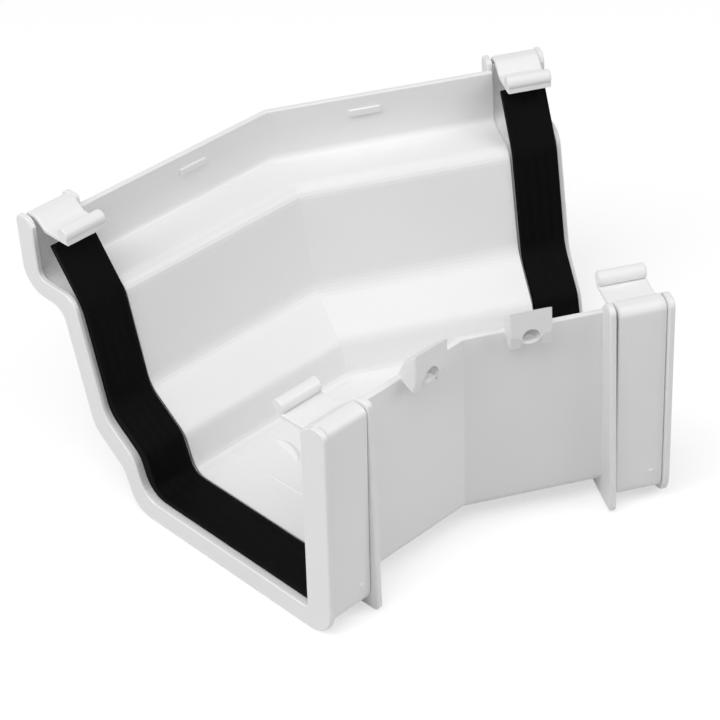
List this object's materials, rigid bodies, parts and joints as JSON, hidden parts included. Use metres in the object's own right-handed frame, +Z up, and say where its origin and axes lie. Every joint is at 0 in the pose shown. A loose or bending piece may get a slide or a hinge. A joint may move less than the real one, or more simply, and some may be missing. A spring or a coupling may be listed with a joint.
{
  "type": "gutter external angle",
  "caption": "Ogee rain gutter corner that turns a run outwards, with a sealed clip socket at each end and screw lugs on the back wall.",
  "frame": {"origin": "centre of the footprint, at the level of the lowest point", "axes": "+Z up; +X along the run across the bend, so the bend lies in the YZ plane; -Y is the flat back wall that faces the building, +Y the ogee front"},
  "size_m": [0.1718, 0.1412, 0.0877],
  "materials": {
    "white_pvc": "smooth moulded white, soft gloss",
    "black_rubber": "matt black",
    "clip_pvc": "smooth moulded white, soft gloss"
  },
  "bodies": {
    "root": {"body": "white_pvc", "seal_left": "black_rubber", "seal_right": "black_rubber", "strap_left": "clip_pvc", "strap_right": "clip_pvc"}
  },
  "joints": []
}
